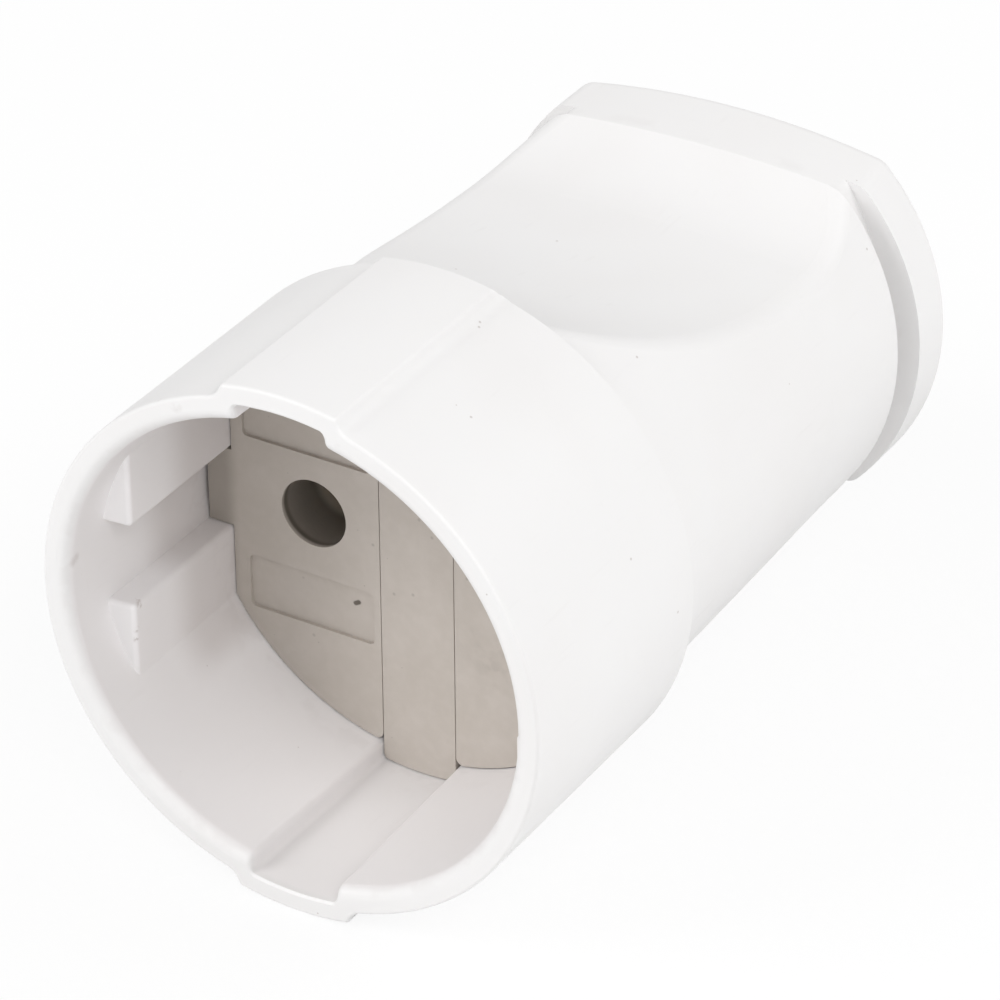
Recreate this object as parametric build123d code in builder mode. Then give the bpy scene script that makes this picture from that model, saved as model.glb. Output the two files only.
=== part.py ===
"""Inline socket connector: a two-pin cable socket with a white shroud and grip. Sizes in mm.

X runs across the two pin holes, Y runs along the connector from the rim to the cord end and
Z points up. The rim lies at Y 0 and the long axis is the Y axis.
"""

import os
from math import acos, asin, atan2, cos, degrees, hypot, radians, sin

from build123d import *

# Stations along the axis, from the rim to the cord end
cup_depth = 18.7
panel_thickness = 2.0
base_thickness = 1.0
ledge_thickness = 1.5
spigot_length = 2.0
grip_length = 39.8
groove_width = 2.0
flange_thickness = 5.0
rear_wall = 3.0
face_y = cup_depth
panel_back_y = face_y + panel_thickness
ledge_y = panel_back_y + base_thickness
shroud_end_y = ledge_y + ledge_thickness
spigot_end_y = shroud_end_y + spigot_length
groove_y = shroud_end_y + grip_length
flange_y = groove_y + groove_width
rear_y = flange_y + flange_thickness
pocket_end_y = rear_y - rear_wall
cavity_end_y = groove_y - 1.5
screw_seat_y = groove_y - 0.5
block_step_y = ledge_y + 9.3
block_end_y = block_step_y + 10.0
shelf_end_y = block_end_y + 9.0
tongue_end_y = cavity_end_y - 1.0

# Contact positions
pin_pitch = 19.0
pin_x = pin_pitch / 2
pin_hole_radius = 3.0
pin_collar_radius = 4.0
pin_collar_end_y = panel_back_y + 4.0

# Front shroud
wall = 2.2
cavity_radius = 19.9
shroud_wall = 2.3
shroud_step = 1.75
mouth_draft = 0.15
mouth_rounding = 1.0
rim_rounding = 0.3
spigot_wall = 1.35
shroud_radius = cavity_radius + shroud_wall
mouth_radius = cavity_radius + mouth_draft
grip_front_radius = shroud_radius - shroud_step
spigot_radius = grip_front_radius - wall
ledge_hole_radius = spigot_radius - spigot_wall

# Outer bulges and the channels inside them
bulge_height = 1.0
bulge_half_width = 5.05
bulge_root = 1.6
bulge_crest_rounding = 0.4
bulge_radius = shroud_radius + bulge_height
band_half_width = 3.35
channel_wall = 1.7
channel_side_gap = 0.07
channel_draft = 0.53
channel_corner = 0.5
channel_mouth_chamfer = 0.2
channel_edge_rounding = 0.5
channel_radius = bulge_radius - channel_wall
channel_half_width_ledge = band_half_width + channel_side_gap
channel_half_width_rim = channel_half_width_ledge + channel_draft

# Side keys
key_height = 2.65
key_gap_z = 3.6
key_inner_y = 4.9
key_wall_y = 4.65
key_bite = 0.6
key_rounding = 0.45
key_flat_x = cavity_radius - key_height

# Contact face
face_fit = 0.1
tab_gap = 0.43
band_end_gap = 0.12
band_gap = 0.08
tab_x = cavity_radius - tab_gap
band_end_radius = channel_radius - band_end_gap
panel_corner = 0.6
recess_depth = 0.3
recess_corner = 0.5
panel_boss_radius = 2.2
panel_boss_length = 5.0
panel_skin = 1.5

# Contact block
block_clearance = 0.2
block_radius = ledge_hole_radius - block_clearance
block_half_height = 12.6
block_rear_half_height = 10.6
pocket_radius = 3.6
pocket_wall = 2.0
shelf_half_width = 14.0
shelf_top_z = -0.6
shelf_bottom_z = -4.6
partition_top_z = 4.5
partition_thickness = 2.0
tongue_half_width = 8.4
tongue_top_z = -3.0
post_x = 5.6
post_y = shelf_end_y + 5.0
post_radius = 2.4
post_top_z = 2.5

# Contacts and their springs
sleeve_radius = 2.95
sleeve_bore_radius = 2.35
sleeve_front_y = pin_collar_end_y + 0.2
sleeve_bottom_y = block_end_y - 2.5
sleeve_lead_in = 0.25
slit_width = 0.8
slit_length = 8.0
tail_width = 6.0
tail_thickness = 1.2
tail_end_y = shelf_end_y - 1.0
slot_fit = 0.1
spring_inner_radius = 3.0
spring_outer_radius = 3.5
spring_front_y = sleeve_front_y + 1.6
spring_length = 3.0
spring_gap = 1.2

# Terminal screws and washers
terminal_y = (block_end_y + shelf_end_y) / 2
terminal_shank_radius = 1.7
terminal_head_radius = 3.0
terminal_head_height = 2.4
terminal_tip_z = -3.8
washer_size = 6.5
washer_thickness = 1.0
hole_play = 0.1

# Panel screws
panel_screw_z = 9.5
panel_screw_radius = 1.25
panel_screw_tip_y = face_y + panel_skin + 0.4
panel_screw_seat_y = block_step_y - 2.2
panel_head_radius = 2.25
panel_head_height = 1.8

# Housing screws and their inserts
housing_screw_x = 12.0
housing_screw_z = 6.5
housing_screw_radius = 1.45
housing_screw_length = 30.0
housing_screw_tip_y = screw_seat_y - housing_screw_length
housing_head_radius = 2.75
housing_head_height = 2.2
insert_radius = 2.0
insert_bore_radius = 1.5
insert_front_y = block_end_y - 6.0
insert_groove_width = 1.2
insert_groove_depth = 0.25
boss_front_y = shelf_end_y + 0.2
boss_radius = 3.3
rear_boss_radius = 4.4
counterbore_radius = 3.0

# Cord clamp
clamp_length = 16.4
clamp_width = 5.0
clamp_thickness = 2.4
clamp_corner = 1.0
clamp_arch_radius = 4.5
clamp_arch_z = -0.6
clamp_screw_radius = 1.45
clamp_head_radius = 2.6
clamp_head_height = 2.0
clamp_tip_z = -3.8

# Screw drives
slot_width = 0.8
slot_depth = 0.9
cross_width = 0.7
cross_length = 2.8
cross_depth = 1.0
head_rounding = 0.3

# Rear housing
grip_taper = 1.25
grip_rear_radius = 21.0
grip_rear_half_width = grip_front_radius - grip_taper
grip_rear_shift = grip_rear_radius - grip_rear_half_width
finger_front_drop = 0.35
finger_front_z = grip_front_radius - finger_front_drop
finger_low_y = groove_y - 9.0
finger_rear_drop = 5.15
finger_rear_z = grip_front_radius - finger_rear_drop
finger_waist_drop = 2.7
finger_low_z = finger_rear_z - finger_waist_drop
finger_crown_radius = 125.0
finger_edge_rounding = 2.2
groove_depth = 2.16
groove_floor_radius = 27.6
groove_floor_half_width = grip_rear_half_width - groove_depth
groove_floor_shift = groove_floor_radius - groove_floor_half_width
flange_overhang = 1.0
flange_radius = grip_rear_half_width + flange_overhang
flange_rise = 0.65
flange_rise_angle = atan2(flange_rise, rear_y - groove_y)
flange_top_radius = 75.0
flange_corner = 1.8
neck_corner = 1.2
flange_edge_rounding = 1.0
rear_pocket_half_width = groove_floor_half_width - 2.44
rear_pocket_half_height = finger_rear_z - 3.5
rear_pocket_corner = 3.0
web_thickness = 4.0
inlet_radius = 4.4
inlet_rounding = 1.2
collar_radius = 6.4
collar_front_y = groove_y

touch_gap = 0.05
sides = (-1, 1)


def at(y):
    """Cross plane at the station y: local x is X, local y is Z, extruding backwards runs along +Y."""
    return Plane.XZ.offset(-y)


def polar(radius, angle):
    """Point of a cross plane at this radius and angle."""
    return (radius * cos(radians(angle)), radius * sin(radians(angle)))


def export_part(part, name):
    """Name the part and write its file."""
    part.label = name
    export_step(part, f"parts/{name}.step")


os.makedirs("parts", exist_ok=True)


# Channel that runs down the inside of both bulges
with BuildPart() as channel:
    with BuildSketch(Plane.XY):
        with BuildLine():
            Polyline(
                (-channel_half_width_rim, 0),
                (channel_half_width_rim, 0),
                (channel_half_width_ledge, ledge_y),
                (-channel_half_width_ledge, ledge_y),
                close=True,
            )
        make_face()
    extrude(amount=bulge_radius, both=True)
    with BuildSketch(at(0)):
        Circle(channel_radius)
    extrude(amount=-ledge_y, mode=Mode.INTERSECT)
    fillet(
        channel.edges().filter_by(lambda edge: 1 < edge.center().Y < ledge_y - 1),
        radius=channel_corner,
    )
    # Chamfered mouth at the rim
    with BuildSketch(at(0)) as mouth_sketch:
        Circle(channel_radius + channel_mouth_chamfer)
        Rectangle(
            2 * (channel_half_width_rim + channel_mouth_chamfer),
            3 * channel_radius,
            mode=Mode.INTERSECT,
        )
        fillet(mouth_sketch.vertices(), radius=channel_corner + channel_mouth_chamfer)
    extrude(amount=-2 * channel_mouth_chamfer, taper=45)


# Two pairs of keys on the cavity wall, with sloped front faces
with BuildPart() as keys:
    key_root_x = cavity_radius + key_bite
    key_slope = (key_inner_y - key_wall_y) / (cavity_radius - key_flat_x)
    key_root_y = key_wall_y - key_bite * key_slope
    key_end_y = ledge_y + key_bite
    with BuildSketch(Plane.XY):
        for side in sides:
            with BuildLine():
                Polyline(
                    (side * key_flat_x, key_inner_y),
                    (side * key_root_x, key_root_y),
                    (side * key_root_x, key_end_y),
                    (side * key_flat_x, key_end_y),
                    close=True,
                )
            make_face()
    extrude(amount=key_root_x, both=True)
    with BuildSketch(at(0)):
        Rectangle(2 * bulge_radius, 2 * key_gap_z)
    extrude(amount=-shroud_end_y, mode=Mode.SUBTRACT)
    with BuildSketch(at(0)):
        Circle(key_root_x - touch_gap)
    extrude(amount=-shroud_end_y, mode=Mode.INTERSECT)
    fillet(
        keys.edges().filter_by(
            lambda edge: hypot(edge.center().X, edge.center().Z) < cavity_radius - touch_gap
            and edge.center().Y < key_end_y - 1
        ),
        radius=key_rounding,
    )


# Front shroud: cup with bulges, ledge and spigot
crest_angle = degrees(asin(bulge_half_width / bulge_radius))
root_reach = shroud_radius + bulge_root
root_turn = degrees(
    acos((root_reach**2 + bulge_radius**2 - bulge_root**2) / (2 * root_reach * bulge_radius))
)
root_sweep = degrees(
    acos((root_reach**2 + bulge_root**2 - bulge_radius**2) / (2 * root_reach * bulge_root))
)
root_angle = crest_angle + root_turn
barrel_angle = 90 - root_angle

with BuildPart() as front_shroud:
    with BuildSketch(at(0)) as shroud_outline:
        with BuildLine():
            for middle in (90, 270):
                CenterArc((0, 0), bulge_radius, middle - crest_angle, 2 * crest_angle)
                for side in sides:
                    root_direction = middle + side * root_angle
                    CenterArc(
                        polar(root_reach, root_direction),
                        bulge_root,
                        root_direction + 180,
                        side * root_sweep,
                    )
            for middle in (0, 180):
                CenterArc((0, 0), shroud_radius, middle - barrel_angle, 2 * barrel_angle)
        make_face()
        fillet(
            shroud_outline.vertices().sort_by_distance((0, 0, 0))[-4:],
            radius=bulge_crest_rounding,
        )
    extrude(amount=-shroud_end_y)
    fillet(front_shroud.faces().sort_by(Axis.Y)[0].edges(), radius=rim_rounding)
    # Sloped rear ends of the bulges
    with BuildSketch(Plane.XY):
        with BuildLine():
            Polyline(
                (shroud_radius + touch_gap, shroud_end_y + touch_gap),
                (bulge_radius + touch_gap, shroud_end_y - bulge_height),
                (bulge_radius + 1, shroud_end_y - bulge_height),
                (bulge_radius + 1, shroud_end_y + touch_gap),
                close=True,
            )
        make_face()
    revolve(axis=Axis.Y, mode=Mode.SUBTRACT)
    with BuildSketch(at(shroud_end_y)):
        Circle(spigot_radius)
    extrude(amount=-(spigot_end_y - shroud_end_y))
    # Cavity with a rounded mouth
    with BuildSketch(Plane.XY):
        with BuildLine():
            Polyline((0, 0), (mouth_radius, 0), (cavity_radius, ledge_y), (0, ledge_y), close=True)
        make_face()
    revolve(axis=Axis.Y, mode=Mode.SUBTRACT)
    fillet(
        front_shroud.faces().sort_by(Axis.Y)[0].inner_wires()[0].edges(),
        radius=mouth_rounding,
    )
    with BuildSketch(at(ledge_y)):
        Circle(ledge_hole_radius)
    extrude(amount=-(spigot_end_y - ledge_y), mode=Mode.SUBTRACT)
    add(channel.part, mode=Mode.SUBTRACT)
    fillet(
        front_shroud.edges().filter_by(
            lambda edge: 1 < edge.center().Y < ledge_y - 1
            and abs(edge.center().X) < bulge_half_width
            and hypot(edge.center().X, edge.center().Z) < mouth_radius
        ),
        radius=channel_edge_rounding,
    )
    add(keys.part)
export_part(front_shroud.part, "front_shroud")


# Outline of the contact face, shared by the panels and the base of the block
with BuildSketch() as face_outline:
    Circle(cavity_radius - face_fit)
    Rectangle(2 * tab_x, 2 * cavity_radius, mode=Mode.INTERSECT)
    with Locations(
        [
            (side * (key_flat_x - face_fit + cavity_radius), end * (key_gap_z - face_fit + cavity_radius))
            for side in sides
            for end in sides
        ]
    ):
        Rectangle(2 * cavity_radius, 2 * cavity_radius, mode=Mode.SUBTRACT)


# Face panels: the left one has two shallow label recesses
panel_inner_x = band_half_width + band_gap
for side, name in ((-1, "left_face_panel"), (1, "right_face_panel")):
    with BuildPart() as panel:
        with BuildSketch(at(face_y)) as panel_sketch:
            add(face_outline.sketch)
            with Locations((side * (panel_inner_x + cavity_radius), 0)):
                Rectangle(2 * cavity_radius, 3 * cavity_radius, mode=Mode.INTERSECT)
            fillet(
                panel_sketch.vertices().filter_by(lambda vertex: abs(vertex.X) < panel_inner_x + touch_gap),
                radius=panel_corner,
            )
            with Locations((side * pin_x, 0)):
                Circle(pin_hole_radius, mode=Mode.SUBTRACT)
        extrude(amount=-(panel_back_y - face_y))
        with BuildSketch(at(panel_back_y)):
            with Locations((side * pin_x, 0)):
                Circle(pin_collar_radius)
                Circle(pin_hole_radius, mode=Mode.SUBTRACT)
        extrude(amount=-(pin_collar_end_y - panel_back_y))
        with BuildSketch(at(panel_back_y)):
            with Locations((side * pin_x, -side * panel_screw_z)):
                Circle(panel_boss_radius)
        extrude(amount=-panel_boss_length)
        with BuildSketch(at(face_y + panel_skin)):
            with Locations((side * pin_x, -side * panel_screw_z)):
                Circle(panel_screw_radius + touch_gap)
        extrude(amount=-(panel_back_y + panel_boss_length - face_y - panel_skin), mode=Mode.SUBTRACT)
        if side < 0:
            with BuildSketch(at(face_y)):
                with Locations((-10.08, 7.85)):
                    RectangleRounded(11.95, 5.2, recess_corner)
                with Locations((-9.9, -8.18)):
                    RectangleRounded(11.7, 4.85, recess_corner)
            extrude(amount=-recess_depth, mode=Mode.SUBTRACT)
    export_part(panel.part, name)


# Contact block: middle band, base plate, body, terminal shelf and cord clamp tongue
with BuildPart() as contact_block:
    with BuildSketch(at(panel_back_y)):
        add(face_outline.sketch)
    extrude(amount=-(ledge_y - panel_back_y))
    with BuildSketch(at(face_y)) as band_sketch:
        Circle(band_end_radius)
        Rectangle(2 * band_half_width, 2 * bulge_radius, mode=Mode.INTERSECT)
        fillet(band_sketch.vertices(), radius=channel_corner)
    extrude(amount=-(ledge_y - face_y))
    with BuildSketch(at(ledge_y)):
        Circle(block_radius)
        Rectangle(2 * block_radius, 2 * block_half_height, mode=Mode.INTERSECT)
    extrude(amount=-(block_step_y - ledge_y))
    with BuildSketch(at(block_step_y)):
        Circle(block_radius)
        Rectangle(2 * block_radius, 2 * block_rear_half_height, mode=Mode.INTERSECT)
    extrude(amount=-(block_end_y - block_step_y))
    # Terminal shelf with a partition between the two terminals
    with BuildSketch(at(block_end_y)):
        with Locations((0, (shelf_top_z + shelf_bottom_z) / 2)):
            Rectangle(2 * shelf_half_width, shelf_top_z - shelf_bottom_z)
        with Locations((0, (partition_top_z + shelf_bottom_z) / 2)):
            Rectangle(partition_thickness, partition_top_z - shelf_bottom_z)
    extrude(amount=-(shelf_end_y - block_end_y))
    with BuildSketch(at(shelf_end_y)):
        with Locations((0, (tongue_top_z + shelf_bottom_z) / 2)):
            Rectangle(2 * tongue_half_width, tongue_top_z - shelf_bottom_z)
    extrude(amount=-(tongue_end_y - shelf_end_y))
    with BuildSketch(Plane.XY.offset(tongue_top_z)):
        with Locations((-post_x, post_y), (post_x, post_y)):
            Circle(post_radius)
    extrude(amount=post_top_z - tongue_top_z)
    # Contact pockets, wider round the panel collars, with slots for the tails
    with BuildSketch(at(panel_back_y)):
        with Locations((-pin_x, 0), (pin_x, 0)):
            Circle(pin_collar_radius + hole_play)
    extrude(amount=-(pin_collar_end_y + hole_play - panel_back_y), mode=Mode.SUBTRACT)
    with BuildSketch(at(panel_back_y)):
        with Locations((-pin_x, 0), (pin_x, 0)):
            Circle(pocket_radius)
    extrude(amount=-(block_end_y - pocket_wall - panel_back_y), mode=Mode.SUBTRACT)
    with BuildSketch(at(block_end_y - pocket_wall)):
        with Locations((-pin_x, 0), (pin_x, 0)):
            Rectangle(tail_width + 2 * slot_fit, tail_thickness + 2 * slot_fit)
    extrude(amount=-pocket_wall, mode=Mode.SUBTRACT)
    # Panel bosses and their screws
    with BuildSketch(at(panel_back_y)):
        with Locations((-pin_x, panel_screw_z), (pin_x, -panel_screw_z)):
            Circle(panel_boss_radius + hole_play)
    extrude(amount=-(panel_boss_length + hole_play), mode=Mode.SUBTRACT)
    with BuildSketch(at(panel_back_y)):
        with Locations((-pin_x, panel_screw_z), (pin_x, -panel_screw_z)):
            Circle(panel_screw_radius + hole_play)
    extrude(amount=-(block_step_y - panel_back_y), mode=Mode.SUBTRACT)
    with BuildSketch(at(panel_screw_seat_y)):
        with Locations((-pin_x, panel_screw_z), (pin_x, -panel_screw_z)):
            Circle(panel_head_radius + 2 * hole_play)
    extrude(amount=-(block_step_y - panel_screw_seat_y), mode=Mode.SUBTRACT)
    # Holes for the threaded inserts, with room for the screw tips
    with BuildSketch(at(insert_front_y)):
        with Locations((-housing_screw_x, -housing_screw_z), (housing_screw_x, housing_screw_z)):
            Circle(insert_radius + touch_gap)
    extrude(amount=-(block_end_y - insert_front_y), mode=Mode.SUBTRACT)
    with BuildSketch(at(housing_screw_tip_y - 0.5)):
        with Locations((-housing_screw_x, -housing_screw_z), (housing_screw_x, housing_screw_z)):
            Circle(housing_screw_radius + hole_play)
    extrude(amount=-(insert_front_y - housing_screw_tip_y + 0.5), mode=Mode.SUBTRACT)
    # Holes under the terminal screws and the cord clamp screws
    with BuildSketch(Plane.XY.offset(shelf_top_z)):
        with Locations((-pin_x, terminal_y), (pin_x, terminal_y)):
            Circle(terminal_shank_radius + hole_play)
    extrude(amount=terminal_tip_z - 0.3 - shelf_top_z, mode=Mode.SUBTRACT)
    with BuildSketch(Plane.XY.offset(post_top_z)):
        with Locations((-post_x, post_y), (post_x, post_y)):
            Circle(clamp_screw_radius + touch_gap)
    extrude(amount=clamp_tip_z - 0.3 - post_top_z, mode=Mode.SUBTRACT)
export_part(contact_block.part, "contact_block")


# Contacts: slit sleeve for the pin and a flat tail for the terminal
for side, name in ((-1, "left_contact"), (1, "right_contact")):
    with BuildPart() as contact:
        with BuildSketch(at(sleeve_front_y)):
            with Locations((side * pin_x, 0)):
                Circle(sleeve_radius)
        extrude(amount=-(block_end_y - pocket_wall - sleeve_front_y))
        with BuildSketch(at(sleeve_bottom_y)):
            with Locations((side * pin_x, 0)):
                Rectangle(tail_width, tail_thickness)
        extrude(amount=-(tail_end_y - sleeve_bottom_y))
        with BuildSketch(at(sleeve_front_y)):
            with Locations((side * pin_x, 0)):
                Circle(sleeve_bore_radius)
        extrude(amount=-(sleeve_bottom_y - sleeve_front_y), mode=Mode.SUBTRACT)
        chamfer(
            contact.faces().sort_by(Axis.Y)[0].inner_wires()[0].edges(),
            length=sleeve_lead_in,
        )
        with BuildSketch(at(sleeve_front_y)):
            with Locations((side * pin_x, 0)):
                Rectangle(slit_width, 3 * sleeve_radius)
        extrude(amount=-slit_length, mode=Mode.SUBTRACT)
        with BuildSketch(Plane.XY.offset(tail_thickness / 2)):
            with Locations((side * pin_x, terminal_y)):
                Circle(terminal_shank_radius + touch_gap)
        extrude(amount=-tail_thickness, mode=Mode.SUBTRACT)
    export_part(contact.part, name)


# Springs: open rings round the sleeves
for side, name in ((-1, "left_contact_spring"), (1, "right_contact_spring")):
    with BuildPart() as spring:
        with BuildSketch(at(spring_front_y)):
            with Locations((side * pin_x, 0)):
                Circle(spring_outer_radius)
                Circle(spring_inner_radius, mode=Mode.SUBTRACT)
            with Locations((side * (pin_x + spring_outer_radius), 0)):
                Rectangle(2 * (spring_outer_radius - spring_inner_radius) + 1, spring_gap, mode=Mode.SUBTRACT)
        extrude(amount=-spring_length)
    export_part(spring.part, name)


# Square washers on the tails
for side, name in ((-1, "left_clamp_washer"), (1, "right_clamp_washer")):
    with BuildPart() as washer:
        with BuildSketch(Plane.XY.offset(tail_thickness / 2)):
            with Locations((side * pin_x, terminal_y)):
                RectangleRounded(washer_size, washer_size, 0.5)
                Circle(terminal_shank_radius + hole_play, mode=Mode.SUBTRACT)
        extrude(amount=washer_thickness)
    export_part(washer.part, name)


# Slotted terminal screws
terminal_seat_z = tail_thickness / 2 + washer_thickness
for side, name in ((-1, "left_terminal_screw"), (1, "right_terminal_screw")):
    with BuildPart() as terminal_screw:
        with BuildSketch(Plane.XY.offset(terminal_seat_z)):
            with Locations((side * pin_x, terminal_y)):
                Circle(terminal_head_radius)
        extrude(amount=terminal_head_height)
        fillet(terminal_screw.edges().sort_by(Axis.Z)[-1], radius=head_rounding)
        with BuildSketch(Plane.XY.offset(terminal_seat_z)):
            with Locations((side * pin_x, terminal_y)):
                Circle(terminal_shank_radius)
        extrude(amount=terminal_tip_z - terminal_seat_z)
        with BuildSketch(Plane.XY.offset(terminal_seat_z + terminal_head_height)):
            with Locations((side * pin_x, terminal_y)):
                Rectangle(3 * terminal_head_radius, slot_width)
        extrude(amount=-slot_depth, mode=Mode.SUBTRACT)
    export_part(terminal_screw.part, name)


# Two screws that hold the panels from behind
with BuildPart() as face_panel_screws:
    with BuildSketch(at(panel_screw_tip_y)):
        with Locations((-pin_x, panel_screw_z), (pin_x, -panel_screw_z)):
            Circle(panel_screw_radius)
    extrude(amount=-(panel_screw_seat_y - panel_screw_tip_y))
    with BuildSketch(at(panel_screw_seat_y)):
        with Locations((-pin_x, panel_screw_z), (pin_x, -panel_screw_z)):
            Circle(panel_head_radius)
    extrude(amount=-panel_head_height)
    fillet(
        face_panel_screws.edges().group_by(Axis.Y)[-1],
        radius=head_rounding,
    )
    with BuildSketch(at(panel_screw_seat_y + panel_head_height)):
        with Locations((-pin_x, panel_screw_z), (pin_x, -panel_screw_z)):
            Rectangle(cross_length, cross_width)
            Rectangle(cross_width, cross_length)
    extrude(amount=cross_depth, mode=Mode.SUBTRACT)
export_part(face_panel_screws.part, "face_panel_screws")


# Two long screws from the cord end into the contact block
with BuildPart() as housing_screws:
    with BuildSketch(at(housing_screw_tip_y)):
        with Locations((-housing_screw_x, -housing_screw_z), (housing_screw_x, housing_screw_z)):
            Circle(housing_screw_radius)
    extrude(amount=-(screw_seat_y - housing_screw_tip_y))
    with BuildSketch(at(screw_seat_y)):
        with Locations((-housing_screw_x, -housing_screw_z), (housing_screw_x, housing_screw_z)):
            Circle(housing_head_radius)
    extrude(amount=-housing_head_height)
    fillet(
        housing_screws.edges().group_by(Axis.Y)[-1],
        radius=head_rounding,
    )
    with BuildSketch(at(screw_seat_y + housing_head_height)):
        with Locations((-housing_screw_x, -housing_screw_z), (housing_screw_x, housing_screw_z)):
            Rectangle(cross_length, cross_width)
            Rectangle(cross_width, cross_length)
    extrude(amount=cross_depth, mode=Mode.SUBTRACT)
export_part(housing_screws.part, "housing_screws")


# Threaded inserts with a ring groove
with BuildPart() as threaded_inserts:
    with BuildSketch(at(insert_front_y)):
        with Locations((-housing_screw_x, -housing_screw_z), (housing_screw_x, housing_screw_z)):
            Circle(insert_radius)
            Circle(insert_bore_radius, mode=Mode.SUBTRACT)
    extrude(amount=-(block_end_y - insert_front_y))
    with BuildSketch(at((insert_front_y + block_end_y - insert_groove_width) / 2)):
        with Locations((-housing_screw_x, -housing_screw_z), (housing_screw_x, housing_screw_z)):
            Circle(insert_radius + touch_gap)
            Circle(insert_radius - insert_groove_depth, mode=Mode.SUBTRACT)
    extrude(amount=-insert_groove_width, mode=Mode.SUBTRACT)
export_part(threaded_inserts.part, "threaded_inserts")


# Cord clamp bar with an arch over the cord
with BuildPart() as cord_clamp_bar:
    with BuildSketch(Plane.XY.offset(post_top_z)):
        with Locations((0, post_y)):
            RectangleRounded(clamp_length, clamp_width, clamp_corner)
        with Locations((-post_x, post_y), (post_x, post_y)):
            Circle(clamp_screw_radius + 2 * hole_play, mode=Mode.SUBTRACT)
    extrude(amount=clamp_thickness)
    with BuildSketch(at(post_y - clamp_width)):
        with Locations((0, clamp_arch_z)):
            Circle(clamp_arch_radius)
    extrude(amount=-2 * clamp_width, mode=Mode.SUBTRACT)
export_part(cord_clamp_bar.part, "cord_clamp_bar")


# Two screws through the clamp bar into the posts
clamp_seat_z = post_top_z + clamp_thickness
with BuildPart() as cord_clamp_screws:
    with BuildSketch(Plane.XY.offset(clamp_seat_z)):
        with Locations((-post_x, post_y), (post_x, post_y)):
            Circle(clamp_head_radius)
    extrude(amount=clamp_head_height)
    fillet(
        cord_clamp_screws.edges().group_by(Axis.Z)[-1],
        radius=head_rounding,
    )
    with BuildSketch(Plane.XY.offset(clamp_seat_z)):
        with Locations((-post_x, post_y), (post_x, post_y)):
            Circle(clamp_screw_radius)
    extrude(amount=clamp_tip_z - clamp_seat_z)
    with BuildSketch(Plane.XY.offset(clamp_seat_z + clamp_head_height)):
        with Locations((-post_x, post_y), (post_x, post_y)):
            Rectangle(cross_length, cross_width)
            Rectangle(cross_width, cross_length)
    extrude(amount=-cross_depth, mode=Mode.SUBTRACT)
export_part(cord_clamp_screws.part, "cord_clamp_screws")


def grip_body(inset, end_y, edge_rounding):
    """Grip from the shroud to end_y, all of its faces moved inwards by the inset."""
    with BuildPart() as right_side:
        with BuildSketch(at(shroud_end_y)):
            Circle(grip_front_radius - inset)
        with BuildSketch(at(groove_y)):
            with Locations((-grip_rear_shift, 0)):
                Circle(grip_rear_radius - inset)
        loft(ruled=True)
    with BuildPart() as finger_hollow:
        with BuildSketch(Plane.YZ):
            with BuildLine():
                low_point = (finger_low_y, finger_low_z - inset)
                front_point = (shroud_end_y, finger_front_z - inset)
                rear_point = (groove_y, finger_rear_z - inset)
                TangentArc(low_point, front_point, tangent=(-1, 0))
                TangentArc(low_point, rear_point, tangent=(1, 0))
                Polyline(
                    front_point,
                    (shroud_end_y, 2 * bulge_radius),
                    (groove_y, 2 * bulge_radius),
                    rear_point,
                )
            make_face()
        revolve(axis=Axis((0, 0, finger_low_z - finger_crown_radius), (0, 1, 0)))
    with BuildPart() as body:
        add(right_side.part)
        mirror(right_side.part, about=Plane.YZ, mode=Mode.INTERSECT)
        add(finger_hollow.part, mode=Mode.SUBTRACT)
        mirror(finger_hollow.part, about=Plane.XY, mode=Mode.SUBTRACT)
        if edge_rounding > 0:
            fillet(
                body.edges().filter_by(
                    lambda edge: shroud_end_y + 5 < edge.center().Y < groove_y - 1
                    and abs(edge.center().X) > pin_hole_radius
                    and abs(edge.center().Z) > finger_low_z - inset - 2
                ),
                radius=edge_rounding,
            )
        with BuildSketch(at(end_y)):
            Rectangle(3 * bulge_radius, 3 * bulge_radius)
        extrude(amount=-rear_y, mode=Mode.SUBTRACT)
    return body.part


outer_grip = grip_body(0, groove_y, finger_edge_rounding)
inner_grip = grip_body(wall, cavity_end_y, 0)


# Inside of the rear housing: main cavity less the screw bosses, then the rear pocket
with BuildPart() as housing_inside:
    add(inner_grip)
    for side in sides:
        with BuildSketch(at(boss_front_y)):
            with Locations((side * housing_screw_x, side * housing_screw_z)):
                Circle(boss_radius)
            with Locations((side * (housing_screw_x + boss_radius), side * housing_screw_z)):
                Rectangle(2 * boss_radius, web_thickness)
        extrude(amount=-(rear_y - boss_front_y), mode=Mode.SUBTRACT)
    with BuildSketch(at(cavity_end_y)):
        RectangleRounded(2 * rear_pocket_half_width, 2 * rear_pocket_half_height, rear_pocket_corner)
        with Locations((-housing_screw_x, -housing_screw_z), (housing_screw_x, housing_screw_z)):
            Circle(rear_boss_radius, mode=Mode.SUBTRACT)
    extrude(amount=-(pocket_end_y - cavity_end_y))
    with BuildSketch(at(collar_front_y)):
        Circle(collar_radius)
    extrude(amount=-(rear_y - collar_front_y), mode=Mode.SUBTRACT)


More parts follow.
